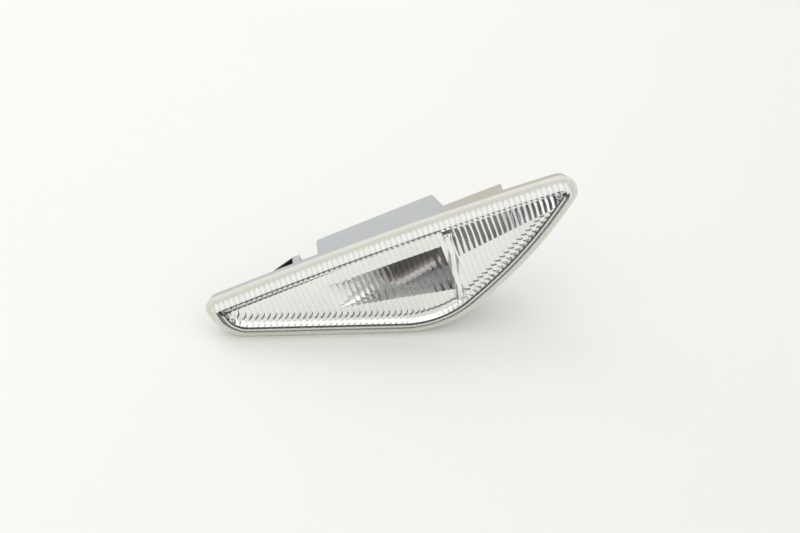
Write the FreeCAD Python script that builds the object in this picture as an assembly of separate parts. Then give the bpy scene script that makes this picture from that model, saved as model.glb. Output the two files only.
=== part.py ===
"""Side indicator lamp for a vehicle wing: clear fluted lens, metallised reflector, grey housing,
wedge-base bulb in a twist-lock holder, and a spring clip that snaps the lamp into its panel.

The lamp is drawn in a design frame: X runs along its long upper edge, Z up across it, and +Y back into the
panel. The panel lies against the rear face of the housing's tray, which is the plane Y = 0. At the end every
piece is turned about Y so that the straight lower edge is level, which is how the lamp stands.
"""
import FreeCAD
import Part
import math
import os

from FreeCAD import Placement, Rotation, Vector

# Outline of the rim: its corners before they are rounded, and the radius at each; millimetres and degrees
LEFT_END_X = -69.9
LEFT_END_HEIGHT = 17.0
LEFT_END_SLANT = 2.4
TOP_EDGE_Z = 21.6
CROWN_X = 4.3
CROWN_HEIGHT = 3.3
TIP_X = 80.3
SHOULDER_X = 48.7
SHOULDER_Z = -6.2
VERTEX_X = 8.1
LOWER_EDGE_ANGLE = 22.0
TOP_LEFT_RADIUS = 4.5
CROWN_RADIUS = 1300.0
TIP_RADIUS = 6.5
SHOULDER_RADIUS = 165.0
VERTEX_RADIUS = 38.0
LEFT_END_RADIUS = 15.0
INNER_CORNER_RADIUS = 0.8

# Lens
RIM_THICKNESS = 2.0
RIM_WIDTH = 1.8
RIM_BEVEL = 0.6
LENS_RISE = 3.0
LENS_WALL = 2.0
FLUTE_PITCH = 2.0
FLUTE_RADIUS = 2.4
TONGUE_WIDTH = 0.8
TONGUE_HEIGHT = 1.2
TONGUE_CLEARANCE = 0.1

# Housing tray and bulb box
TRAY_DEPTH = 4.0
TRAY_WALL = 1.8
TRAY_FLOOR = 1.6
BOX_LEFT_X = -26.2
BOX_RIGHT_X = 26.3
BOX_TOP_Z = 16.5
BOX_LOW_LEFT_Z = -4.5
BOX_LOW_RIGHT_Z = -14.5
BOX_DEPTH_LEFT = 17.2
BOX_DEPTH_RIGHT = 20.6
BOX_WALL = 1.6
BOX_CORNER_RADIUS = 1.2
HOLDER_TILT = 18.0

# Hook lug and clip post on the back of the tray
PANEL_GAP = 2.2
HOOK_TOP_Z = 17.0
HOOK_WIDTH = 7.0
HOOK_ROOT_LENGTH = 10.5
HOOK_REACH = 8.0
HOOK_DEPTH_ROOT = 9.3
HOOK_DEPTH_END = 10.7
HOOK_LEAD = 1.5
POST_LEFT_X = -35.5
POST_THICKNESS = 2.8
POST_DEPTH = 10.3
POST_TOP_Z = 17.0
POST_WIDTH = 8.0
POST_RIB_DEPTH = 9.2
POST_RIB_THICKNESS = 1.6

# Spring clip
CLIP_THICKNESS = 0.5
CLIP_WIDTH = 7.0
CLIP_LEG = 5.0
CLIP_CHEEK = 0.9
CLIP_LEAF_RUN = 14.4
CLIP_TIP_TURN = 1.6
CLIP_SEAT = 0.05

# Reflector
REFLECTOR_WALL = 1.2
REFLECTOR_GAP = 0.8
REFLECTOR_SKIRT = 1.4
REFLECTOR_BEVEL_RUN = 2.6
REFLECTOR_BEVEL_DROP = 1.0
REFLECTOR_END = 8.4
REFLECTOR_HOLE_GAP = 0.3
TROUGH_LEFT_X = -28.0
TROUGH_LEFT_DEPTH = 0.1
TROUGH_RAMP_X = -22.5
TROUGH_RAMP_DEPTH = 1.1
TROUGH_BEND_X = -8.0
TROUGH_BEND_DEPTH = 10.6
TROUGH_RIGHT_X = 24.0
TROUGH_RIGHT_DEPTH = 22.7
TROUGH_TOP_Z = 10.5
TROUGH_LOW_LEFT_Z = 0.5
TROUGH_LOW_RIGHT_Z = -10.8
TROUGH_WALL = 1.0
TROUGH_SIDE_SHARE = 0.5
TROUGH_FLOOR_SHARE = 0.56
DIVIDER_TOP = (21.8, 15.9)
DIVIDER_FOOT = (17.6, -13.4)
DIVIDER_WIDTH = 3.0
DIVIDER_HEIGHT = 2.0
DIVIDER_RADIUS = 1.0
CREASE_LEFT = (22.8, 5.4)
CREASE_RIGHT = (61.6, 11.4)
CREASE_HEIGHT = 2.0
FACET_TOP_LEFT_Z = 16.2
FACET_TOP_RIGHT_Z = 14.5
FACET_LOW_LEFT_Z = -15.2
FACET_LOW_RIGHT_Z = 4.9

# Bulb holder, its seal, contacts and bulb; distances along the holder's axis start at the box's outer face
HOLDER_Y = 10.6
HOLDER_Z = 1.2
NOSE_RADIUS = 6.6
NOSE_LENGTH = 10.8
NOSE_CLEARANCE = 0.2
FLANGE_RADIUS = 8.5
FLANGE_THICKNESS = 2.0
SEAL_THICKNESS = 1.2
SEAL_WIDTH = 1.4
SEAL_LIFT = 0.05
BAYONET_TURN = 45.0
BAYONET_LUG_RADIUS = 8.2
BAYONET_LUG_WIDTH = 4.0
BAYONET_LUG_LENGTH = 1.8
BAYONET_CLEARANCE = 0.15
SOCKET_LENGTH = 15.0
SOCKET_FLOOR = 2.6
SOCKET_WIDTH = 10.0
SOCKET_HEIGHT = 7.6
SOCKET_WALL = 1.4
CONTACT_THICKNESS = 0.6
CONTACT_WIDTH = 2.2
CONTACT_BLADE = 4.5
CONTACT_CLEARANCE = 0.05
BULB_RADIUS = 5.05
BULB_LENGTH = 26.8
BULB_TIP_RINGS = 4
WEDGE_LENGTH = 8.0
WEDGE_FLOOR = 2.8
WEDGE_WIDTH = 9.8
WEDGE_THICKNESS = 4.6
WEDGE_CLEARANCE = 0.3
LEAD_RADIUS = 0.15
LEAD_LENGTH = 6.0

# Planes along Y, front to back
SEAT_Y = 0.0
RIM_BACK_Y = SEAT_Y - TRAY_DEPTH
RIM_FRONT_Y = RIM_BACK_Y - RIM_THICKNESS
LENS_FRONT_Y = RIM_FRONT_Y - LENS_RISE
LENS_INNER_Y = LENS_FRONT_Y + LENS_WALL
TRAY_FLOOR_Y = SEAT_Y - TRAY_FLOOR
WING_BACK_Y = TRAY_FLOOR_Y - REFLECTOR_SKIRT
WING_FRONT_Y = WING_BACK_Y - REFLECTOR_WALL

# Insets from the rim's outline
TRAY_INNER_INSET = RIM_WIDTH + TRAY_WALL
TONGUE_OUTER_INSET = TRAY_INNER_INSET + TONGUE_CLEARANCE
TONGUE_INNER_INSET = TONGUE_OUTER_INSET + TONGUE_WIDTH
REFLECTOR_INSET = TONGUE_INNER_INSET + REFLECTOR_GAP

ALONG_Y = Vector(0, 1, 0)
TOLERANCE = 1e-6
CUT_MARGIN = 5.0
REACH = TIP_X - LEFT_END_X


def polygon(points):
    """Closed wire through the points."""
    return Part.makePolygon(points + points[:1])


def rounded_wire(corners, inset):
    """Closed wire of straight sides and tangent arcs, from (point, radius) pairs in the XZ plane, drawn in
    by an inset; a radius too small for the inset leaves an inner corner of the least radius."""
    arcs = []
    points = [point for point, _ in corners]
    for index, (point, radius) in enumerate(corners):
        to_last = (points[index - 1] - point).normalize()
        to_next = (points[(index + 1) % len(points)] - point).normalize()
        half_angle = to_last.getAngle(to_next) / 2
        inward = (to_last + to_next).normalize()
        inner_point = point + inward * (inset / math.sin(half_angle))
        inner_radius = max(radius - inset, INNER_CORNER_RADIUS)
        setback = inner_radius / math.tan(half_angle)
        middle = inner_point + inward * (inner_radius / math.sin(half_angle) - inner_radius)
        arcs.append(Part.Arc(inner_point + to_last * setback, middle, inner_point + to_next * setback))
    edges = []
    for arc, following in zip(arcs, arcs[1:] + arcs[:1]):
        edges += [arc.toShape(), Part.makeLine(arc.EndPoint, following.StartPoint)]
    return Part.Wire(edges)


def rim_outline(inset):
    """Outline of the rim, drawn in by an inset: crowned top, bent lower right, straight lower left."""
    left_low_x = LEFT_END_X + LEFT_END_SLANT
    left_low_z = TOP_EDGE_Z - LEFT_END_HEIGHT
    vertex_z = left_low_z - (VERTEX_X - left_low_x) * math.tan(math.radians(LOWER_EDGE_ANGLE))
    return rounded_wire([
        (Vector(LEFT_END_X, 0, TOP_EDGE_Z), TOP_LEFT_RADIUS),
        (Vector(CROWN_X, 0, TOP_EDGE_Z + CROWN_HEIGHT), CROWN_RADIUS),
        (Vector(TIP_X, 0, TOP_EDGE_Z), TIP_RADIUS),
        (Vector(SHOULDER_X, 0, SHOULDER_Z), SHOULDER_RADIUS),
        (Vector(VERTEX_X, 0, vertex_z), VERTEX_RADIUS),
        (Vector(left_low_x, 0, left_low_z), LEFT_END_RADIUS),
    ], inset)


def prism(wire, y_front, y_back):
    """Solid between two planes of constant Y with the given outline."""
    face = Part.Face(wire)
    face.translate(Vector(0, y_front, 0))
    return face.extrude(ALONG_Y * (y_back - y_front))


def slab_along_z(wire, z_low, z_high):
    """Solid with an outline drawn in the XY plane, between two heights."""
    face = Part.Face(wire)
    face.translate(Vector(0, 0, z_low))
    return face.extrude(Vector(0, 0, z_high - z_low))


def inset_prism(inset, y_front, y_back):
    """Prism of the rim's outline drawn in by an inset."""
    return prism(rim_outline(inset), y_front, y_back)


def tapered(front_inset, y_front, back_inset, y_back):
    """Solid with sloped sides between two insets of the rim's outline."""
    wires = []
    for inset, y in ((front_inset, y_front), (back_inset, y_back)):
        wire = rim_outline(inset)
        wire.translate(ALONG_Y * y)
        wires.append(wire)
    return Part.makeLoft(wires, True, True)


def crown_cone(front_inset, y_front, back_inset, y_back):
    """Cone round the centre of the crown, with its side along the rim's upper edge between two insets."""
    arcs = [edge.Curve for edge in rim_outline(0).Edges if edge.Curve.TypeId == "Part::GeomCircle"]
    crown = max(arcs, key=lambda arc: arc.Radius)
    return Part.makeCone(crown.Radius - front_inset, crown.Radius - back_inset, y_back - y_front,
                         crown.Center + ALONG_Y * y_front, ALONG_Y)


def ring(outer_inset, inner_inset, y_front, y_back):
    """Frame between two insets of the rim's outline."""
    return inset_prism(outer_inset, y_front, y_back).cut(inset_prism(inner_inset, y_front, y_back))


def edges_at_y(shape, y):
    """Edges that lie in a plane of constant Y."""
    boxes = [(edge, edge.BoundBox) for edge in shape.Edges]
    return [edge for edge, box in boxes if max(abs(box.YMin - y), abs(box.YMax - y)) < TOLERANCE]


def fluted_slab():
    """Space behind the flutes: its front is a row of hollow arcs, one pitch wide, that run along Z."""
    half_pitch = FLUTE_PITCH / 2
    sagitta = FLUTE_RADIUS - math.sqrt(FLUTE_RADIUS ** 2 - half_pitch ** 2)
    count = math.ceil(REACH / FLUTE_PITCH)
    edges = []
    for index in range(count):
        left = Vector(LEFT_END_X + index * FLUTE_PITCH, LENS_INNER_Y, 0)
        crown = left + Vector(half_pitch, sagitta, 0)
        right = left + Vector(FLUTE_PITCH, 0, 0)
        edges.append(Part.Arc(left, crown, right).toShape())
    last_x = LEFT_END_X + count * FLUTE_PITCH
    corners = [
        Vector(last_x, LENS_INNER_Y, 0),
        Vector(last_x, SEAT_Y, 0),
        Vector(LEFT_END_X, SEAT_Y, 0),
        Vector(LEFT_END_X, LENS_INNER_Y, 0),
    ]
    edges += [Part.makeLine(a, b) for a, b in zip(corners, corners[1:])]
    return slab_along_z(Part.Wire(edges), -REACH, REACH)


def make_lens():
    """Clear cover: flat rim, sloped side wall, front plate with flutes inside, and a tongue into the tray."""
    flange = inset_prism(0, RIM_FRONT_Y, RIM_BACK_Y)
    flange = flange.makeChamfer(RIM_BEVEL, edges_at_y(flange, RIM_FRONT_Y))
    dome = tapered(RIM_WIDTH + LENS_RISE, LENS_FRONT_Y, RIM_WIDTH, RIM_FRONT_Y)
    tongue = inset_prism(TONGUE_OUTER_INSET, RIM_BACK_Y, RIM_BACK_Y + TONGUE_HEIGHT)
    slope_wall = LENS_WALL * math.sqrt(2)
    inner_front_inset = RIM_WIDTH + LENS_RISE + slope_wall - LENS_WALL
    slope_back_y = LENS_INNER_Y + inner_front_inset - TONGUE_INNER_INSET
    slope = tapered(inner_front_inset, LENS_INNER_Y, TONGUE_INNER_INSET, slope_back_y)
    cavity = inset_prism(TONGUE_INNER_INSET, slope_back_y, SEAT_Y).fuse(slope)
    cavity = cavity.common(fluted_slab())
    return flange.fuse([dome, tongue]).cut(cavity).removeSplitter()


def box_block(inset, front_y):
    """Bulb box with every wall moved in by an inset: level top, sloping foot, tilted right-hand end wall."""
    tilt = math.tan(math.radians(HOLDER_TILT))
    foot = polygon([
        Vector(BOX_LEFT_X, 0, BOX_TOP_Z),
        Vector(BOX_RIGHT_X, 0, BOX_TOP_Z),
        Vector(BOX_RIGHT_X, 0, BOX_LOW_RIGHT_Z),
        Vector(BOX_LEFT_X, 0, BOX_LOW_LEFT_Z),
    ])
    side = polygon([
        Vector(BOX_LEFT_X, front_y - CUT_MARGIN, 0),
        Vector(BOX_LEFT_X, BOX_DEPTH_LEFT, 0),
        Vector(BOX_RIGHT_X - BOX_DEPTH_RIGHT * tilt, BOX_DEPTH_RIGHT, 0),
        Vector(BOX_RIGHT_X - (front_y - CUT_MARGIN) * tilt, front_y - CUT_MARGIN, 0),
    ])
    if inset:
        foot = foot.makeOffset2D(-inset, 2)
        side = side.makeOffset2D(-inset, 2)
    return prism(foot, front_y, BOX_DEPTH_RIGHT).common(slab_along_z(side, -REACH, REACH))


def rounded_box():
    """Outside of the bulb box, with round corners everywhere but at the tray."""
    block = box_block(0, TRAY_FLOOR_Y)
    rounded = [e for e in block.Edges if e.BoundBox.YMax > TRAY_FLOOR_Y + TOLERANCE]
    return block.makeFillet(BOX_CORNER_RADIUS, rounded)


def holder_placement(turn=0.0):
    """Frame of the twist-lock holder: local X runs out of the tilted end wall, from the wall's outer face."""
    wall_x = BOX_RIGHT_X - HOLDER_Y * math.tan(math.radians(HOLDER_TILT))
    tilt = Rotation(Vector(0, 0, 1), HOLDER_TILT)
    return Placement(Vector(wall_x, HOLDER_Y, HOLDER_Z), tilt.multiply(Rotation(Vector(1, 0, 0), turn)))


def on_holder(shape, turn=0.0):
    """Place a shape drawn along local X on the holder's axis."""
    placed = shape.copy()
    placed.Placement = holder_placement(turn).multiply(placed.Placement)
    return placed


def rod(radius, x_start, x_end):
    """Cylinder along local X."""
    return Part.makeCylinder(radius, x_end - x_start, Vector(x_start, 0, 0), Vector(1, 0, 0))


def bar(x_start, x_end, y_size, z_size, y_mid=0.0):
    """Box along local X, centred on a line of constant Y."""
    return Part.makeBox(x_end - x_start, y_size, z_size, Vector(x_start, y_mid - y_size / 2, -z_size / 2))


def bayonet_lugs(x_start, x_end, radius, width):
    """Pair of opposite lugs that stand off the holder's nose along local Z."""
    return bar(x_start, x_end, width, 2 * radius).common(rod(radius, x_start, x_end))


def make_housing():
    """Grey back: shallow tray, deep bulb box with a twist-lock hole, hook lug, clip post and its rib."""
    tray = inset_prism(RIM_WIDTH, RIM_BACK_Y, SEAT_Y)
    tray = tray.cut(inset_prism(TRAY_INNER_INSET, RIM_BACK_Y, TRAY_FLOOR_Y))
    hook_end_x = BOX_RIGHT_X + HOOK_ROOT_LENGTH + HOOK_REACH
    root_x = BOX_RIGHT_X + HOOK_ROOT_LENGTH
    inside_box_x = BOX_RIGHT_X - BOX_DEPTH_RIGHT * math.tan(math.radians(HOLDER_TILT))
    hook = slab_along_z(polygon([
        Vector(inside_box_x, TRAY_FLOOR_Y, 0),
        Vector(inside_box_x, HOOK_DEPTH_ROOT, 0),
        Vector(hook_end_x, HOOK_DEPTH_END, 0),
        Vector(hook_end_x, PANEL_GAP + HOOK_LEAD, 0),
        Vector(hook_end_x - HOOK_LEAD, PANEL_GAP, 0),
        Vector(root_x, PANEL_GAP, 0),
        Vector(root_x, TRAY_FLOOR_Y, 0),
    ]), HOOK_TOP_Z - HOOK_WIDTH, HOOK_TOP_Z)
    post_right_x = POST_LEFT_X + POST_THICKNESS
    post = Part.makeBox(POST_THICKNESS, POST_DEPTH - TRAY_FLOOR_Y, POST_WIDTH,
                        Vector(POST_LEFT_X, TRAY_FLOOR_Y, POST_TOP_Z - POST_WIDTH))
    rib_top_z = min(POST_TOP_Z, BOX_TOP_Z) - BOX_CORNER_RADIUS
    rib_length = BOX_LEFT_X + BOX_WALL - post_right_x
    rib = Part.makeBox(rib_length, POST_RIB_DEPTH - TRAY_FLOOR_Y, POST_RIB_THICKNESS,
                       Vector(post_right_x, TRAY_FLOOR_Y, rib_top_z - POST_RIB_THICKNESS))
    pocket_width = CLIP_WIDTH + 2 * CLIP_SEAT
    pocket_corner = Vector(POST_LEFT_X + CLIP_CHEEK, POST_DEPTH - CLIP_LEG - CLIP_SEAT,
                           POST_TOP_Z - (POST_WIDTH + pocket_width) / 2)
    pocket = Part.makeBox(CLIP_THICKNESS + 2 * CLIP_SEAT, CLIP_LEG + CUT_MARGIN, pocket_width, pocket_corner)
    body = tray.fuse([rounded_box(), hook, post, rib])
    body = body.cut([box_block(BOX_WALL, RIM_BACK_Y), pocket])
    hole = rod(NOSE_RADIUS + NOSE_CLEARANCE, -BOX_WALL - CUT_MARGIN, CUT_MARGIN)
    notches = bayonet_lugs(-BOX_WALL - CUT_MARGIN, CUT_MARGIN, BAYONET_LUG_RADIUS + NOSE_CLEARANCE,
                           BAYONET_LUG_WIDTH + 2 * NOSE_CLEARANCE)
    return body.cut([on_holder(hole), on_holder(notches, BAYONET_TURN)]).removeSplitter()


def make_spring_clip():
    """Spring strip: a leg in the post's pocket, a bend over its cheek, and a long leaf sloping out."""
    right_x = POST_LEFT_X + CLIP_CHEEK + CLIP_SEAT
    left_x = POST_LEFT_X - CLIP_SEAT
    bridge_y = POST_DEPTH + CLIP_SEAT
    tip_x = left_x - CLIP_LEAF_RUN
    tip_y = PANEL_GAP + CLIP_THICKNESS
    path = Part.makePolygon([
        Vector(right_x, POST_DEPTH - CLIP_LEG, 0),
        Vector(right_x, bridge_y, 0),
        Vector(left_x, bridge_y, 0),
        Vector(tip_x, tip_y, 0),
        Vector(tip_x - CLIP_TIP_TURN, tip_y + CLIP_TIP_TURN, 0),
    ])
    strip = path.makeOffset2D(CLIP_THICKNESS, 2, True, True)
    clip_low_z = POST_TOP_Z - (POST_WIDTH + CLIP_WIDTH) / 2
    strip.translate(Vector(0, 0, clip_low_z))
    return strip.extrude(Vector(0, 0, CLIP_WIDTH))


def trough_low_z(x):
    """Height of the trough's lower lip, a straight line from its left to its right end."""
    share = (x - TROUGH_LEFT_X) / (TROUGH_RIGHT_X - TROUGH_LEFT_X)
    return TROUGH_LOW_LEFT_Z + share * (TROUGH_LOW_RIGHT_Z - TROUGH_LOW_LEFT_Z)


def trough_hollow(x, depth):
    """Section of the trough's hollow at one X: a U-shaped cubic, closed in front. Its two inner poles lie 4/3
    of the depth behind the lips, so that its bottom reaches the depth."""
    open_y = WING_FRONT_Y - CUT_MARGIN
    top = Vector(x, WING_FRONT_Y, TROUGH_TOP_Z)
    low = Vector(x, WING_FRONT_Y, trough_low_z(x))
    pull = Vector(0, depth * 4 / 3, 0)
    hollow = Part.BezierCurve()
    hollow.setPoles([top, top + pull, low + pull, low])
    low_open = Vector(x, open_y, low.z)
    top_open = Vector(x, open_y, top.z)
    sides = [Part.makeLine(low, low_open), Part.makeLine(low_open, top_open), Part.makeLine(top_open, top)]
    return Part.Wire([hollow.toShape()] + sides)


def trough_back(x, depth):
    """Section of the trough's outside at one X: straight sides, then slopes to a narrower floor."""
    top_z = TROUGH_TOP_Z + TROUGH_WALL
    low_z = trough_low_z(x) - TROUGH_WALL
    side_y = WING_FRONT_Y + TROUGH_SIDE_SHARE * depth
    floor_y = WING_FRONT_Y + depth + TROUGH_WALL
    slope = (1 - TROUGH_FLOOR_SHARE) / 2 * (top_z - low_z)
    return polygon([
        Vector(x, WING_FRONT_Y, top_z),
        Vector(x, side_y, top_z),
        Vector(x, floor_y, top_z - slope),
        Vector(x, floor_y, low_z + slope),
        Vector(x, side_y, low_z),
        Vector(x, WING_FRONT_Y, low_z),
    ])


def trough_solid(section, wall):
    """Trough as a solid: a shallow ramp, then a scoop that falls towards the bulb's hole. The hollow is
    smooth, and the outside of its wall runs straight from one station to the next."""
    stations = [
        section(TROUGH_LEFT_X - wall, TROUGH_LEFT_DEPTH),
        section(TROUGH_RAMP_X - wall, TROUGH_RAMP_DEPTH),
        section(TROUGH_BEND_X - wall, TROUGH_BEND_DEPTH),
        section(TROUGH_RIGHT_X, TROUGH_RIGHT_DEPTH),
    ]
    scoop = Part.makeLoft(stations, True, wall > 0)
    end = on_holder(bar(-REACH, -REFLECTOR_END + wall - TROUGH_WALL, REACH, REACH))
    return scoop.common(end)


def divider_rib():
    """Rib between the trough and the right wing, with a rounded ridge."""
    top = Vector(DIVIDER_TOP[0], 0, DIVIDER_TOP[1])
    foot = Vector(DIVIDER_FOOT[0], 0, DIVIDER_FOOT[1])
    run = foot - top
    side = Vector(-run.z, 0, run.x).normalize() * (DIVIDER_WIDTH / 2)
    plan = polygon([top + side, foot + side, foot - side, top - side])
    rib = prism(plan, WING_FRONT_Y - DIVIDER_HEIGHT, WING_BACK_Y)
    ridge = edges_at_y(rib, WING_FRONT_Y - DIVIDER_HEIGHT)
    return rib.makeFillet(DIVIDER_RADIUS, ridge)


def wing_facets():
    """Right wing: two facets that meet in a raised crease, which rises towards the tip."""
    heights = (
        (CREASE_LEFT, FACET_TOP_LEFT_Z, FACET_LOW_LEFT_Z),
        (CREASE_RIGHT, FACET_TOP_RIGHT_Z, FACET_LOW_RIGHT_Z),
    )
    sections = []
    for (x, crease_z), top_z, low_z in heights:
        sections.append(polygon([
            Vector(x, WING_FRONT_Y, top_z),
            Vector(x, WING_FRONT_Y - CREASE_HEIGHT, crease_z),
            Vector(x, WING_FRONT_Y, low_z),
            Vector(x, WING_BACK_Y, crease_z),
        ]))
    facets = Part.makeLoft(sections, True, True)
    return facets.common(inset_prism(REFLECTOR_INSET, LENS_INNER_Y, SEAT_Y))


def make_reflector():
    """Metallised insert: wings on a turned-down skirt, bevelled along the upper edge, trough with its bulb
    hole, divider rib and facets."""
    bevel_back_y = WING_FRONT_Y + REFLECTOR_BEVEL_DROP
    bevel = crown_cone(REFLECTOR_INSET + REFLECTOR_BEVEL_RUN, WING_FRONT_Y, REFLECTOR_INSET, bevel_back_y)
    front = inset_prism(REFLECTOR_INSET, WING_FRONT_Y, bevel_back_y).common(bevel)
    plate = inset_prism(REFLECTOR_INSET, bevel_back_y, WING_BACK_Y).fuse(front)
    skirt = ring(REFLECTOR_INSET, REFLECTOR_INSET + REFLECTOR_WALL, WING_BACK_Y, TRAY_FLOOR_Y)
    behind_plate = inset_prism(REFLECTOR_INSET, WING_FRONT_Y, BOX_DEPTH_RIGHT)
    trough = trough_solid(trough_back, TROUGH_WALL).common(behind_plate)
    shell = plate.fuse([skirt, trough, wing_facets()])
    shell = shell.cut(trough_solid(trough_hollow, 0)).fuse(divider_rib())
    hole = rod(NOSE_RADIUS + REFLECTOR_HOLE_GAP, -REFLECTOR_END - CUT_MARGIN, -REFLECTOR_END + CUT_MARGIN)
    return shell.cut(on_holder(hole)).removeSplitter()


def contact_bar(x_start, x_end, side, clearance):
    """Strip of one contact, above or below the bulb's wedge."""
    middle = side * (WEDGE_THICKNESS / 2 + 2 * LEAD_RADIUS + CONTACT_THICKNESS / 2)
    return bar(x_start, x_end, CONTACT_THICKNESS + 2 * clearance, CONTACT_WIDTH + 2 * clearance, middle)


def socket_floor_x():
    """Local X of the plug socket's floor."""
    return SEAL_THICKNESS + FLANGE_THICKNESS + SOCKET_FLOOR


def make_bulb_holder():
    """Twist-lock holder: slotted nose with two lugs, flange, and a plug socket outside."""
    flange_back_x = SEAL_THICKNESS + FLANGE_THICKNESS
    lug_front_x = -BOX_WALL - BAYONET_CLEARANCE
    nose = rod(NOSE_RADIUS, -NOSE_LENGTH, SEAL_THICKNESS)
    lugs = bayonet_lugs(lug_front_x - BAYONET_LUG_LENGTH, lug_front_x, BAYONET_LUG_RADIUS, BAYONET_LUG_WIDTH)
    flange = rod(FLANGE_RADIUS, SEAL_THICKNESS, flange_back_x)
    shroud = bar(flange_back_x, flange_back_x + SOCKET_LENGTH,
                 SOCKET_HEIGHT + 2 * SOCKET_WALL, SOCKET_WIDTH + 2 * SOCKET_WALL)
    long_edges = [e for e in shroud.Edges if e.BoundBox.XLength > SOCKET_LENGTH / 2]
    shroud = shroud.makeFillet(SOCKET_WALL, long_edges)
    body = nose.fuse([lugs, flange, shroud])
    slot = bar(-NOSE_LENGTH, -WEDGE_FLOOR,
               WEDGE_THICKNESS + 2 * WEDGE_CLEARANCE, WEDGE_WIDTH + 2 * WEDGE_CLEARANCE)
    socket = bar(socket_floor_x(), flange_back_x + SOCKET_LENGTH, SOCKET_HEIGHT, SOCKET_WIDTH)
    ways = [contact_bar(-NOSE_LENGTH, socket_floor_x(), side, CONTACT_CLEARANCE) for side in (-1, 1)]
    return body.cut([slot, socket] + ways).removeSplitter()


def make_holder_seal():
    """Rubber ring on the nose, under the flange."""
    outer = rod(NOSE_RADIUS + NOSE_CLEARANCE + SEAL_WIDTH, SEAL_LIFT, SEAL_THICKNESS)
    return outer.cut(rod(NOSE_RADIUS, SEAL_LIFT, SEAL_THICKNESS))


def make_contact(side):
    """Contact strip from the bulb's wedge, through the holder, to a blade in the plug socket."""
    start_x = -NOSE_LENGTH + WEDGE_FLOOR
    return contact_bar(start_x, socket_floor_x() + CONTACT_BLADE, side, 0)


def make_bulb():
    """Wedge-base bulb, sealed and coated: a tube with a domed tip of cone rings, on a flat pinched base."""
    base_x = -WEDGE_FLOOR - WEDGE_CLEARANCE
    shoulder_x = base_x - WEDGE_LENGTH
    tip_x = base_x - BULB_LENGTH
    tube_end_x = tip_x + BULB_RADIUS
    angles = [math.pi / 2 * index / BULB_TIP_RINGS for index in range(BULB_TIP_RINGS)]
    dome = [Vector(tube_end_x - BULB_RADIUS * math.sin(a), BULB_RADIUS * math.cos(a), 0) for a in angles]
    ends = [Vector(tip_x, 0, 0), Vector(shoulder_x, 0, 0), Vector(shoulder_x, BULB_RADIUS, 0)]
    glass = Part.Face(polygon(dome + ends)).revolve(Vector(0, 0, 0), Vector(1, 0, 0), 360)
    wedge = bar(shoulder_x, base_x, WEDGE_THICKNESS, WEDGE_WIDTH)
    return glass.fuse(wedge).removeSplitter()


def make_bulb_leads():
    """Two wire ends lying on the wedge's faces, against the contacts."""
    end_x = -WEDGE_FLOOR - WEDGE_CLEARANCE
    leads = []
    for side in (-1, 1):
        lead = rod(LEAD_RADIUS, end_x - LEAD_LENGTH, end_x)
        lead.translate(Vector(0, side * (WEDGE_THICKNESS / 2 + LEAD_RADIUS), 0))
        leads.append(lead)
    return Part.makeCompound(leads)


PIECES = {
    "lens": make_lens(),
    "housing": make_housing(),
    "reflector": make_reflector(),
    "spring_clip": make_spring_clip(),
    "bulb_holder": on_holder(make_bulb_holder()),
    "holder_seal": on_holder(make_holder_seal()),
    "contact_upper": on_holder(make_contact(-1)),
    "contact_lower": on_holder(make_contact(1)),
    "bulb": on_holder(make_bulb()),
    "bulb_leads": on_holder(make_bulb_leads()),
}

os.makedirs("parts", exist_ok=True)
STANDING = Placement(Vector(0, 0, 0), Rotation(ALONG_Y, -LOWER_EDGE_ANGLE))
for node, piece in PIECES.items():
    standing = piece.copy()
    standing.Placement = STANDING.multiply(standing.Placement)
    standing.exportStep(f"parts/{node}.step")
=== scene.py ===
"""Looks of the side indicator lamp: its clear fluted lens worked out as one closed shell, the
finishes of every piece, and a pale table under soft light."""
import math

import bmesh
import bpy
import numpy as np
from mathutils import Matrix, Vector


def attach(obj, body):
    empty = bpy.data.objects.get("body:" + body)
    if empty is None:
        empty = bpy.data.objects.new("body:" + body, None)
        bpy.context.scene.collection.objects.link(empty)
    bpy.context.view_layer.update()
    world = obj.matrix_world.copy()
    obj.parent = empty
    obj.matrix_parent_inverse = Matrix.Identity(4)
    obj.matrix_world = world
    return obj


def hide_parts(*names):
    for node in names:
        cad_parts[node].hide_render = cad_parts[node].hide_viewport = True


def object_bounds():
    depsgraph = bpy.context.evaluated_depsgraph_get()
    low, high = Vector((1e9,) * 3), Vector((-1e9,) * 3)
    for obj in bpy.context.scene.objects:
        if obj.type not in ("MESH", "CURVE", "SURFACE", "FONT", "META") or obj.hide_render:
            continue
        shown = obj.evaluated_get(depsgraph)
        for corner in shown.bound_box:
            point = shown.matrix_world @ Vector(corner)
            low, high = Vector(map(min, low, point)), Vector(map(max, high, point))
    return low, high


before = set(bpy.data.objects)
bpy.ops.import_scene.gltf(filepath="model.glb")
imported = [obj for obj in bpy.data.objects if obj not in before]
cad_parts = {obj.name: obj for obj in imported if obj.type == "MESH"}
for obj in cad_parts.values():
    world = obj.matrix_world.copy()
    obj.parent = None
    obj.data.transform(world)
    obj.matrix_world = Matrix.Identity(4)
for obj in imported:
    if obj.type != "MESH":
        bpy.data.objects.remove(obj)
CAD_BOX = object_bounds()

MM = 0.001
LEAN = math.radians(22.0)

# Rim outline in the design frame, where X runs along the upper edge, in millimetres
LEFT_END_X = -69.9
CROWN_X = 4.3
CROWN_SLOPE = 0.044
LEFT_LOW_X = -67.5
LEFT_LOW_Z = 4.6
VERTEX_X = 8.1
VERTEX_Z = LEFT_LOW_Z - (VERTEX_X - LEFT_LOW_X) * math.tan(LEAN)
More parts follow.
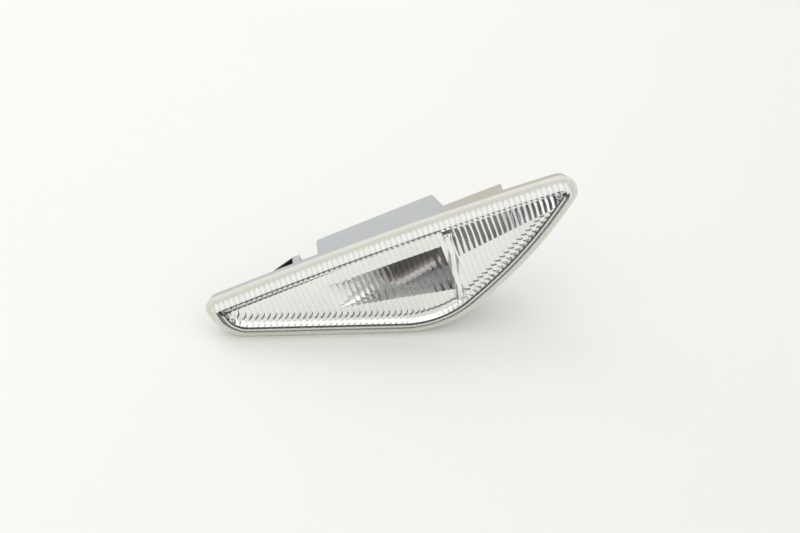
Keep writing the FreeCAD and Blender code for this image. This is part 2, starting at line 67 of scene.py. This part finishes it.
# Its corners: X, Z and radius
RIM_CORNERS = np.array([
    (LEFT_END_X, 21.6, 4.5),
    (CROWN_X, 24.9, 1300.0),
    (80.3, 21.6, 6.5),
    (48.7, -6.2, 165.0),
    (VERTEX_X, VERTEX_Z, 38.0),
    (LEFT_LOW_X, LEFT_LOW_Z, 15.0),
])
INNER_CORNER_RADIUS = 0.8

# Flutes of the lens and steps of its mesh
FLUTE_START = LEFT_END_X
FLUTE_PITCH = 2.0
FLUTE_RADIUS = 2.4
STEPS_PER_FLUTE = 14
END_REACH = 1.5
END_STEPS = 12
ROUND_POINTS = 5
WALL_STEPS = 6
PLATE_ROWS = 7
MERGE_DISTANCE = 1e-4 * MM
LENS_SHARP_ANGLE = 28.0

# Lens section: inset from the rim's outline, and Y
PLATE_BACK_Y = -7.0
PLATE_BACK_INSET = 5.63
CORNER_INSET = 5.04
CORNER_INSET_REACH = 0.82
CORNER_Y = -8.0
CORNER_Y_REACH = 1.0
WALL_FOOT = (1.85, -6.1)
RIM_START = (1.7, -6.0)
RIM_EDGE = 0.03
RIM_ROUND = 0.8
RIM_ROUND_Y = -5.2
RIM_SIDE_Y = -4.3
RIM_BACK_Y = -4.02
RIM_BACK_INSET = 0.28
TONGUE_INSET = 3.7
# The tongue and the inner wall, with the share of the flutes' height that each place takes
INSIDE_SECTION = np.array([
    (TONGUE_INSET, -2.8, 0),
    (4.4, -2.8, 0),
    (4.5, -2.9, 0),
    (4.5, -5.87, 0),
    (4.78, -6.15, 0.5),
    (5.06, -6.43, 0.8),
    (5.35, -6.72, 0.95),
    (PLATE_BACK_INSET, PLATE_BACK_Y, 1),
])

# Lens finishes, and the beads that stand on its wall
CLEAR, SATIN, BEADED = range(3)
LOWER_CLEAR_STRIPS = 2
PLATE_EDGE_STRIPS = 2
BEAD_SHARE = 0.9
# Painted highlight of each bead: its centre in Y, its reach, and its soft edge into the painted
# shade between beads
BEAD_Y = -7.3
BEAD_REACH = 1.5
PAINTED_BEAD_LIGHT_BLUR = (1.0, 0.3)

# Bright lip along the reflector's lower edge: inset, Y and no share of the flutes
LIP_SECTION = np.array([
    (6.0, -4.24, 0),
    (5.33, -4.92, 0),
    (4.66, -5.6, 0),
    (4.62, -5.5, 0),
    (5.2, -4.9, 0),
    (5.8, -4.26, 0),
])
LIP_INSET = 6.0
LIP_STEPS_PER_FLUTE = 4
LIP_SHARP_ANGLE = 50.0

# Where finishes change, in millimetres of the design frame: from one value to the other
# Painted shadow line along the reflector's upper edge: its height band, then where it ends along X
PAINTED_GAP_SHADOW = (16.35, 16.65)
PAINTED_GAP_SHADOW_END = (20.0, 19.5)
TROUGH_DEPTH = (-2.0, 3.5)
WARM_REACH = (12.98, 35.23)
BULB_AXIS_Z = 1.2
BULB_RADIUS = 5.0
# Painted reflections on the bulb: pale below its axis, dark above it
# In bulb radii above its axis
BULB_PAINTED_PALE_REFLECTION = (0.15, -0.15)
BULB_PAINTED_DARK_REFLECTION = (0.25, 0.45)


def standing(x, y, z):
    """Design frame in millimetres to the part's frame in metres: a turn about Y that levels the
    lower edge."""
    return np.stack([x * math.cos(LEAN) - z * math.sin(LEAN),
                     y,
                     x * math.sin(LEAN) + z * math.cos(LEAN)], axis=-1) * MM


def unit(vectors):
    """Each row divided by its length."""
    return vectors / np.linalg.norm(vectors, axis=1, keepdims=True)


def rim_path(inset, samples_per_arc=400, samples_per_side=200):
    """Rim outline drawn in by an inset: each corner moves in along its bisector by the inset over
    the sine of the half angle, and an arc touches both of its sides, with straight runs between.
    Numbers along it match at any inset."""
    points = RIM_CORNERS[:, :2]
    to_last = unit(np.roll(points, 1, 0) - points)
    to_next = unit(np.roll(points, -1, 0) - points)
    half = np.arccos((to_last * to_next).sum(1)) / 2
    bisector = unit(to_last + to_next)
    radii = np.maximum(RIM_CORNERS[:, 2] - inset, INNER_CORNER_RADIUS)
    centres = points + bisector * ((inset + radii) / np.sin(half))[:, None]
    moved = points + bisector * (inset / np.sin(half))[:, None]
    touch = moved + to_last * (radii / np.tan(half))[:, None]
    start = np.arctan2(*(touch - centres).T[::-1])
    sweep = -(np.pi - 2 * half)
    angle = start[:, None] + sweep[:, None] * np.linspace(0, 1, samples_per_arc)
    arcs = centres[:, None] + np.stack([np.cos(angle), np.sin(angle)], -1) * radii[:, None, None]
    run = np.linspace(0, 1, samples_per_side + 2)[1:-1, None]
    following = np.roll(arcs[:, 0], -1, 0)
    sides = arcs[:, -1][:, None] * (1 - run) + following[:, None] * run
    return np.concatenate([arcs, sides], 1).reshape(-1, 2)


def columns(inset, step):
    """Places along X between the two ends of the rim's outline at an inset: even steps, and at
    both ends closer ones, by one less the cosine of an even angle."""
    x = rim_path(inset)[:, 0]
    low, high = x.min(), x.max()
    first = math.ceil((low - FLUTE_START) / step)
    last = math.floor((high - FLUTE_START) / step)
    even = FLUTE_START + np.arange(first, last + 1) * step
    closer = END_REACH * (1 - np.cos(np.linspace(0, np.pi / 2, END_STEPS)))
    places = np.concatenate([low + closer, even, high - closer])
    return np.unique(np.round(places, 5)).clip(low, high)


def edge_places(inset, x):
    """Upper and lower places, as numbers along the rim's outline, where its copy at an inset
    crosses each X."""
    path_x = rim_path(inset)[:, 0]
    count = len(path_x)
    left = path_x.argmin()
    right = path_x.argmax()
    upper = left + np.arange((right - left) % count + 1)
    lower = left - np.arange((left - right) % count + 1)
    return np.interp(x, path_x[upper % count], upper), np.interp(x, path_x[lower % count], lower)


def at_inset(places, inset):
    """Points at numbers along the rim's outline, on its copy at an inset."""
    path = rim_path(inset)
    closed_path = np.vstack([path, path[:1]])
    number = np.arange(len(closed_path))
    wrapped = np.mod(places, len(path))
    return [np.interp(wrapped, number, closed_path[:, axis]) for axis in range(2)]


def flute(x):
    """Height of the ribs on the lens: a circular arc over each pitch, zero in the valleys."""
    half = FLUTE_PITCH / 2
    across = np.mod(x - FLUTE_START, FLUTE_PITCH) - half
    return np.sqrt(FLUTE_RADIUS ** 2 - across ** 2) - math.sqrt(FLUTE_RADIUS ** 2 - half ** 2)


def swept(places, section):
    """A section carried along places on the rim's outline, one row of points for each of its
    insets: Y is the section's own plus its share of the ribs' height."""
    rows = []
    for inset, y, share in section:
        x, z = at_inset(places, inset)
        rows.append(standing(x, y + share * flute(x), z))
    return np.stack(rows)


def grid_faces(rows, width, first=0, closed=False):
    """Quads of a grid of vertices numbered row by row; closed joins its last column to its
    first."""
    spans = width if closed else width - 1
    row, column = np.meshgrid(np.arange(rows - 1), np.arange(spans), indexing="ij")
    a = first + row * width + column
    b = first + row * width + (column + 1) % width
    return np.stack([a, b, b + width, a + width], -1).reshape(-1, 4)


def linked(name, data):
    """New object in the scene."""
    made = bpy.data.objects.new(name, data)
    bpy.context.scene.collection.objects.link(made)
    return made


def new_piece(name, points, faces, body):
    """Mesh object from whole arrays, riding on a body."""
    mesh = bpy.data.meshes.new(name)
    mesh.from_pydata(points.reshape(-1, 3).tolist(), [], faces.tolist())
    piece = linked(name, mesh)
    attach(piece, body)
    return piece


def close_up(mesh, sharp_angle):
    """Merges doubles, turns the faces outwards and smooths all but the edges sharper than an
    angle in degrees."""
    cells = bmesh.new()
    cells.from_mesh(mesh)
    bmesh.ops.remove_doubles(cells, verts=cells.verts, dist=MERGE_DISTANCE)
    bmesh.ops.dissolve_degenerate(cells, edges=cells.edges, dist=MERGE_DISTANCE)
    bmesh.ops.recalc_face_normals(cells, faces=cells.faces)
    cells.to_mesh(mesh)
    cells.free()
    mesh.shade_smooth()
    mesh.set_sharp_from_angle(angle=math.radians(sharp_angle))


def lens_shell():
    """Closed lens: a section carried round the rim's outline for the rounded corner, side wall,
    rim and tongue, a flat front plate, and an inner plate whose Y is a row of arcs along X. On the
    wall the arcs swell by the squared sine of the way down, which makes a bead at each flute's
    end. Gives points, faces and a finish for each face."""
    x = columns(PLATE_BACK_INSET, FLUTE_PITCH / STEPS_PER_FLUTE)
    upper, lower = edge_places(PLATE_BACK_INSET, x)
    loop = np.concatenate([upper, lower[::-1]])

    turn = np.linspace(0, np.pi / 2, ROUND_POINTS)
    corner = np.stack([CORNER_INSET - CORNER_INSET_REACH * np.sin(turn / 2),
                       CORNER_Y - CORNER_Y_REACH * np.cos(turn / 2), 0 * turn], -1)
    slope = np.linspace(0, 1, WALL_STEPS + 1)[1:, None]
    wall = (1 - slope) * corner[-1] + slope * (*WALL_FOOT, 0)
    wall[:, 2] = -BEAD_SHARE * np.sin(np.pi * slope[:, 0]) ** 2
    edge = np.stack([RIM_ROUND - (RIM_ROUND - RIM_EDGE) * np.sin(turn),
                     RIM_ROUND_Y - RIM_ROUND * np.cos(turn), 0 * turn], -1)
    front = np.concatenate([[(PLATE_BACK_INSET, corner[0, 1], 0)], corner, wall])
    rim = np.concatenate([
        [(*RIM_START, 0)],
        edge,
        [(RIM_EDGE, RIM_SIDE_Y, 0), (RIM_BACK_INSET, RIM_BACK_Y, 0), (TONGUE_INSET, RIM_BACK_Y, 0)],
    ])
    ring = swept(loop, np.concatenate([front, rim, INSIDE_SECTION]))

    grids = [ring]
    faces = [grid_faces(len(ring), len(loop), closed=True)]
    first = len(ring) * len(loop)
    across = np.linspace(0, 1, PLATE_ROWS)[:, None, None]
    for border in (ring[0], ring[-1]):
        top = border[:len(x)]
        foot = border[len(x):][::-1]
        grids.append(top * (1 - across) + foot * across)
        faces.append(grid_faces(PLATE_ROWS, len(x), first))
        first += PLATE_ROWS * len(x)
    points = np.concatenate([grid.reshape(-1, 3) for grid in grids])

    # The loop's first half runs along the upper edge, its second half along the lower
    finish = np.full((len(ring) - 1, len(loop)), CLEAR)
    wall_start = len(corner) + 1
    finish[wall_start:len(front), :len(x)] = BEADED
    finish[wall_start + LOWER_CLEAR_STRIPS:len(front), len(x):] = BEADED
    finish[:PLATE_EDGE_STRIPS, len(x):] = BEADED
    finish[len(front):len(front) + len(rim) - 1] = SATIN
    plate_finish = np.full(len(faces[1]) + len(faces[2]), CLEAR)
    return points, np.concatenate(faces), np.concatenate([finish.ravel(), plate_finish])


def lower_lip():
    """Sloped lip between the reflector and the lens: a closed section carried along the lower
    edge, drawn to a point at both ends."""
    x = columns(LIP_INSET, FLUTE_PITCH / LIP_STEPS_PER_FLUTE)
    lip = swept(edge_places(LIP_INSET, x)[1], LIP_SECTION).swapaxes(0, 1)
    lip[[0, -1]] = lip[[0, -1]].mean(axis=1, keepdims=True)
    return lip, grid_faces(len(x), len(LIP_SECTION), closed=True)


class Wire:
    """One output of a node; arithmetic on it adds Math nodes."""

    def __init__(self, finish, socket):
        self.finish = finish
        self.socket = socket

    def math(self, operation, *terms):
        return self.finish.node("ShaderNodeMath", {"operation": operation}, dict(enumerate(terms)))

    def __add__(self, other):
        return self.math("ADD", self, other)

    def __sub__(self, other):
        return self.math("SUBTRACT", self, other)

    def __rsub__(self, other):
        return self.math("SUBTRACT", other, self)

    def __mul__(self, other):
        return self.math("MULTIPLY", self, other)

    def __truediv__(self, other):
        return self.math("DIVIDE", self, other)

    __radd__ = __add__
    __rmul__ = __mul__

    def fraction(self):
        return self.math("FRACT", self)

    def size(self):
        return self.math("ABSOLUTE", self)

    def smooth(self, start, end):
        """Smooth step from 0 at start to 1 at end; end may be the lower."""
        return self.finish.node("ShaderNodeMapRange", {"interpolation_type": "SMOOTHSTEP"},
                                {"Value": self, "From Min": start, "From Max": end})


class Finish:
    """Node tree of one finish, with one method that adds any node."""

    def __init__(self, owner):
        owner.use_nodes = True
        self.tree = owner.node_tree
        self.tree.nodes.clear()

    def node(self, kind, settings=None, inputs=None, output=0):
        made = self.tree.nodes.new(kind)
        for name, setting in (settings or {}).items():
            setattr(made, name, setting)
        for name, value in (inputs or {}).items():
            if isinstance(value, Wire):
                self.tree.links.new(value.socket, made.inputs[name])
            else:
                made.inputs[name].default_value = value
        return Wire(self, made.outputs[output]) if len(made.outputs) else None

    def place(self):
        return self.node("ShaderNodeTexCoord", output="Object")

    def split(self, vector):
        """X, Y and Z of a vector as three values."""
        apart = self.node("ShaderNodeSeparateXYZ", {}, {0: vector})
        return [Wire(self, socket) for socket in apart.socket.node.outputs]

    def design_axes(self):
        """Object coordinates turned back to the design frame: X, Y and Z in millimetres."""
        x, y, z = self.split(self.place())
        along = (math.cos(LEAN) * x + math.sin(LEAN) * z) / MM
        height = (math.cos(LEAN) * z - math.sin(LEAN) * x) / MM
        return along, y / MM, height

    def noise(self, scale, detail=2.0):
        """Noise between 0 and 1 on Object coordinates; scale is in spots per metre."""
        return self.node("ShaderNodeTexNoise", {},
                         {"Vector": self.place(), "Scale": scale, "Detail": detail})

    def mix(self, share, colour_a, colour_b):
        return self.node("ShaderNodeMix", {"data_type": "RGBA"},
                         {0: share, 6: colour_a, 7: colour_b}, 2)

    def bump(self, height, strength, distance):
        return self.node("ShaderNodeBump", {},
                         {"Height": height, "Strength": strength, "Distance": distance})

    def principled(self, **sockets):
        named = {name.replace("_", " "): value for name, value in sockets.items()}
        return self.node("ShaderNodeBsdfPrincipled", {}, named)

    def surface(self, shader):
        self.node("ShaderNodeOutputMaterial", {}, {"Surface": shader})


def new_finish(name):
    material = bpy.data.materials.new(name)
    return material, Finish(material)


def rgb(red, green, blue):
    return (red, green, blue, 1.0)


def grey(level):
    return rgb(level, level, level)


def clear_plastic():
    """Polished clear moulding: a trace of warm tint that drifts, and faint handling marks in its
    gloss."""
    material, f = new_finish("clear_plastic")
    tint = f.mix(f.noise(60.0), rgb(0.975, 0.975, 0.962), rgb(0.985, 0.985, 0.98))
    marks = f.noise(400.0, 4.0).smooth(0.55, 0.8)
    f.surface(f.principled(Base_Color=tint, Roughness=0.01 + 0.03 * marks, IOR=1.49,
                           Transmission_Weight=1.0))
    return material


def satin_rim():
    """Milky rim of the lens: pale warm grey in soft drifts under a gloss, with a fine grain."""
    material, f = new_finish("satin_rim")
    grain = f.noise(2500.0, 3.0)
    colour = f.mix(f.noise(110.0, 3.0), rgb(0.70, 0.69, 0.62), rgb(0.76, 0.75, 0.69))
    f.surface(f.principled(Base_Color=colour, Roughness=0.25 + 0.1 * grain,
                           Normal=f.bump(grain, 0.1, 0.03 * MM)))
    return material


def beaded_wall():
    """Frosted sloped wall of the lens: a painted highlight, milky white, on the bead at each
    flute's end, with a soft drift, and painted shade, greyer, in the gaps between, under a gloss."""
    material, f = new_finish("beaded_wall")
    x, y, _ = f.design_axes()
    across = ((x - FLUTE_START) / FLUTE_PITCH).fraction() * 2 - 1
    down = (y - BEAD_Y) / BEAD_REACH
    # Painted highlight on each bead and painted shade in the gaps between
    bead = (across * across + down * down).smooth(*PAINTED_BEAD_LIGHT_BLUR)
    pale = f.mix(f.noise(160.0, 3.0), rgb(0.80, 0.80, 0.77), rgb(0.88, 0.88, 0.86))
    colour = f.mix(bead, rgb(0.66, 0.66, 0.63), pale)
    f.surface(f.principled(Base_Color=colour, Roughness=0.12 + 0.1 * f.noise(1800.0)))
    return material


def mirror_coat():
    """Metallised reflector: bright, with slow drifts in brightness and gloss, a whiter satin deep
    in its trough, and a painted shadow line, dark, along the left wing's upper edge, standing for
    the shadow gap between the reflector and the lens."""
    material, f = new_finish("mirror_coat")
    x, y, z = f.design_axes()
    below_crown = z + CROWN_SLOPE * (x - CROWN_X).size()
    # Painted shadow along the left wing's upper edge, for the gap between the reflector and the
    # lens
    edge = below_crown.smooth(*PAINTED_GAP_SHADOW) * x.smooth(*PAINTED_GAP_SHADOW_END)
    depth = y.smooth(*TROUGH_DEPTH)
    coat = f.mix(f.noise(90.0, 3.0), rgb(0.95, 0.955, 0.955), rgb(0.985, 0.985, 0.98))
    colour = f.mix(edge, coat, rgb(0.10, 0.10, 0.095))
    f.surface(f.principled(Base_Color=colour, Metallic=1 - 0.75 * depth,
                           Roughness=0.04 + 0.04 * f.noise(500.0, 3.0) + 0.06 * depth))
    return material


def housing_plastic():
    """Light grey moulding: cool grey in soft drifts, warmer towards the hook end, with a fine
    spark grain."""
    material, f = new_finish("housing_plastic")
    x, _, _ = f.design_axes()
    grain = f.noise(3000.0)
    cool = f.mix(f.noise(45.0, 3.0), rgb(0.50, 0.52, 0.53), rgb(0.55, 0.565, 0.575))
    colour = f.mix(x.smooth(*WARM_REACH), cool, rgb(0.53, 0.505, 0.45))
    f.surface(f.principled(Base_Color=colour, Roughness=0.45 + 0.15 * grain,
                           Normal=f.bump(grain, 0.25, 0.04 * MM)))
    return material


def spring_steel():
    """Dark brown oiled spring strip: brown to near black patches under a fine grain."""
    material, f = new_finish("spring_steel")
    grain = f.noise(4000.0)
    colour = f.mix(f.noise(350.0, 4.0), rgb(0.035, 0.02, 0.012), rgb(0.12, 0.07, 0.04))
    f.surface(f.principled(Base_Color=colour, Metallic=0.6, Roughness=0.3 + 0.25 * grain,
                           Normal=f.bump(grain, 0.15, 0.03 * MM)))
    return material


def dark_moulding(name, low, high, roughness, grain_scale):
    """Dark moulded piece: two near shades in soft patches under a fine grain."""
    material, f = new_finish(name)
    grain = f.noise(grain_scale, 3.0)
    colour = f.mix(f.noise(120.0, 3.0), low, high)
    f.surface(f.principled(Base_Color=colour, Roughness=roughness + 0.15 * grain,
                           Normal=f.bump(grain, 0.3, 0.05 * MM)))
    return material


def bright_strip(name, low, high):
    """Bright metal strip or wire: two near shades, and a fine grain in its gloss."""
    material, f = new_finish(name)
    colour = f.mix(f.noise(500.0, 3.0), low, high)
    f.surface(f.principled(Base_Color=colour, Metallic=1.0, Roughness=0.2 + 0.2 * f.noise(3000.0)))
    return material


def smoked_bulb():
    """Mirror-coated bulb: a brown metal sheen in drifting patches, with a painted dark reflection
    above, near black, and a painted pale reflection below that turns it to silver."""
    material, f = new_finish("smoked_bulb")
    _, _, z = f.design_axes()
    rise = (z - BULB_AXIS_Z) / BULB_RADIUS
    # Painted reflections: silver below the axis with less metal, near black above it
    painted_pale_reflection = rise.smooth(*BULB_PAINTED_PALE_REFLECTION)
    brown = f.mix(f.noise(200.0, 3.0), rgb(0.16, 0.11, 0.09), rgb(0.30, 0.24, 0.22))
    colour = f.mix(rise.smooth(*BULB_PAINTED_DARK_REFLECTION), brown, rgb(0.012, 0.011, 0.01))
    colour = f.mix(painted_pale_reflection, colour, rgb(0.95, 0.945, 0.935))
    f.surface(f.principled(Base_Color=colour, Metallic=0.85 - 0.75 * painted_pale_reflection,
                           Roughness=0.12 + 0.1 * f.noise(700.0, 3.0)))
    return material


def dress(node, material):
    """Puts one finish on a CAD node."""
    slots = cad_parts[node].data.materials
    slots.clear()
    slots.append(material)


lens_points, lens_faces, lens_finishes = lens_shell()
lens = new_piece("clear_lens", lens_points, lens_faces, "lamp")
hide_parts("lens")
lens.data.polygons.foreach_set("material_index", lens_finishes.astype(np.int32))
for material in (clear_plastic(), satin_rim(), beaded_wall()):
    lens.data.materials.append(material)
close_up(lens.data, LENS_SHARP_ANGLE)

mirror = mirror_coat()
lip_points, lip_faces = lower_lip()
lip = new_piece("reflector_lip", lip_points, lip_faces, "lamp")
lip.data.materials.append(mirror)
close_up(lip.data, LIP_SHARP_ANGLE)

dress("housing", housing_plastic())
dress("reflector", mirror)
dress("spring_clip", spring_steel())
dress("bulb_holder", dark_moulding("holder_plastic", rgb(0.02, 0.02, 0.022),
                                   rgb(0.04, 0.04, 0.042), 0.4, 2500.0))
dress("holder_seal", dark_moulding("seal_rubber", grey(0.012), grey(0.03), 0.7, 1800.0))
dress("bulb", smoked_bulb())
dress("bulb_leads", bright_strip("lead_wire", grey(0.5), rgb(0.68, 0.67, 0.65)))
for contact in ("contact_upper", "contact_lower"):
    dress(contact, bright_strip(contact + "_brass", rgb(0.62, 0.45, 0.2), rgb(0.8, 0.62, 0.32)))

# Camera: seen from the left of square by AZIMUTH and from above by ELEVATION, rolled a little
AZIMUTH = math.radians(-6.0)
ELEVATION = math.radians(35.0)
ROLL = math.radians(2.73)
DISTANCE = 677 * MM
AIM = Vector((-1.20, -4.0, 7.44)) * MM
LENS_MM = 85.0
SENSOR_MM = 36.0
CLIP_START = 10 * MM

rolled = Matrix.Rotation(-ROLL, 3, "Y")
back = Vector((math.sin(AZIMUTH) * math.cos(ELEVATION),
               -math.cos(AZIMUTH) * math.cos(ELEVATION),
               math.sin(ELEVATION)))
right = Vector((0, 0, 1)).cross(back).normalized()
up = back.cross(right)
facing = Matrix([rolled @ right, rolled @ up, rolled @ back]).transposed()
camera = linked("camera", bpy.data.cameras.new("camera"))
camera.data.lens = LENS_MM
camera.data.sensor_width = SENSOR_MM
camera.data.clip_start = CLIP_START
camera.matrix_world = Matrix.Translation(rolled @ (AIM + back * DISTANCE)) @ facing.to_4x4()
bpy.context.scene.camera = camera


def flat_sheet(name, corners, z, material):
    """Level sheet with four corners."""
    mesh = bpy.data.meshes.new(name)
    mesh.from_pydata([(x, y, z) for x, y in corners], [], [(0, 1, 2, 3)])
    mesh.materials.append(material)
    return linked(name, mesh)


# Table: a square under the part
TABLE_SIZE = 3.0
TABLE_GAP = 0.02 * MM
# Painted shade darkening the table to the right and the front: its slant and its range
TABLE_SLANT = 0.5
TABLE_PAINTED_SHADE = (-150 * MM, 250 * MM)
TABLE_DRIFT = 0.1


def table_finish():
    """Pale table: a warm white sheet, with painted shade that slowly darkens it to the right and
    the front, and with a faint drift of tone."""
    material, f = new_finish("pale_table")
    x, y, _ = f.split(f.place())
    # Painted shade towards the right and the front, plus a random drift of tone
    painted_shade_and_drift = (x - TABLE_SLANT * y).smooth(*TABLE_PAINTED_SHADE) * (1 - TABLE_DRIFT)
    painted_shade_and_drift = painted_shade_and_drift + TABLE_DRIFT * f.noise(4.0)
    colour = f.mix(painted_shade_and_drift, rgb(0.93, 0.935, 0.90), rgb(0.86, 0.865, 0.84))
    f.surface(f.principled(Base_Color=colour, Roughness=0.9, Specular_IOR_Level=0.0))
    return material


table_z = CAD_BOX[0][2] - TABLE_GAP
table_corners = np.array([(-1, -1), (1, -1), (1, 1), (-1, 1)]) * TABLE_SIZE
table = flat_sheet("table", table_corners, table_z, table_finish())

# Dark card that lies in front of the picture: only gloss shows it
CARD_CORNERS = [(-0.37, -1.5), (0.13, -1.5), (50 * MM, -125 * MM), (-10 * MM, -125 * MM)]
CARD_LIFT = 1 * MM
card_black = dark_moulding("card_black", grey(0.01), grey(0.016), 0.8, 900.0)
card = flat_sheet("dark_card", CARD_CORNERS, table_z + CARD_LIFT, card_black)
card.visible_camera = False
card.visible_diffuse = False
card.visible_shadow = False

BOX_LIGHT_PLACE = Vector((-0.45, 0.35, 0.85))
BOX_LIGHT_SIZE = 0.7
BOX_LIGHT_WATTS = 1.0
softbox = linked("softbox", bpy.data.lights.new("softbox", "AREA"))
softbox.data.size = BOX_LIGHT_SIZE
softbox.data.energy = BOX_LIGHT_WATTS
softbox.location = BOX_LIGHT_PLACE
softbox.rotation_euler = BOX_LIGHT_PLACE.to_track_quat("Z", "Y").to_euler()

# Room, by direction: the tent brightens upwards and to the front, and the gap is low in front
TENT_SLANT = 0.5
TENT_RISE = (0.5, 0.95)
GAP_Z = 0.15
GAP_Z_EDGE = (0.40, 0.30)
GAP_X = -0.14
GAP_SLANT = 0.45
GAP_X_EDGE = (0.22, 0.12)
GAP_FRONT = (-0.4, -0.6)


def studio_room():
    """White tent, brightest above the camera, with a gap low in front that shows the dark end of
    the room."""
    world = bpy.data.worlds.new("studio_room")
    bpy.context.scene.world = world
    f = Finish(world)
    x, y, z = f.split(f.node("ShaderNodeTexCoord", output="Generated"))
    bright = (z - TENT_SLANT * y).smooth(*TENT_RISE)
    tent = f.mix(bright, rgb(0.60, 0.60, 0.595), rgb(1.34, 1.34, 1.325))
    low = (z - GAP_Z).size().smooth(*GAP_Z_EDGE)
    ahead = (x - GAP_X + GAP_SLANT * z).size().smooth(*GAP_X_EDGE) * y.smooth(*GAP_FRONT)
    colour = f.mix(low * ahead, tent, grey(0.01))
    room = f.node("ShaderNodeBackground", {}, {"Color": colour, "Strength": 1.0})
    f.node("ShaderNodeOutputWorld", {}, {"Surface": room})


studio_room()
bpy.context.scene.view_settings.view_transform = "Standard"
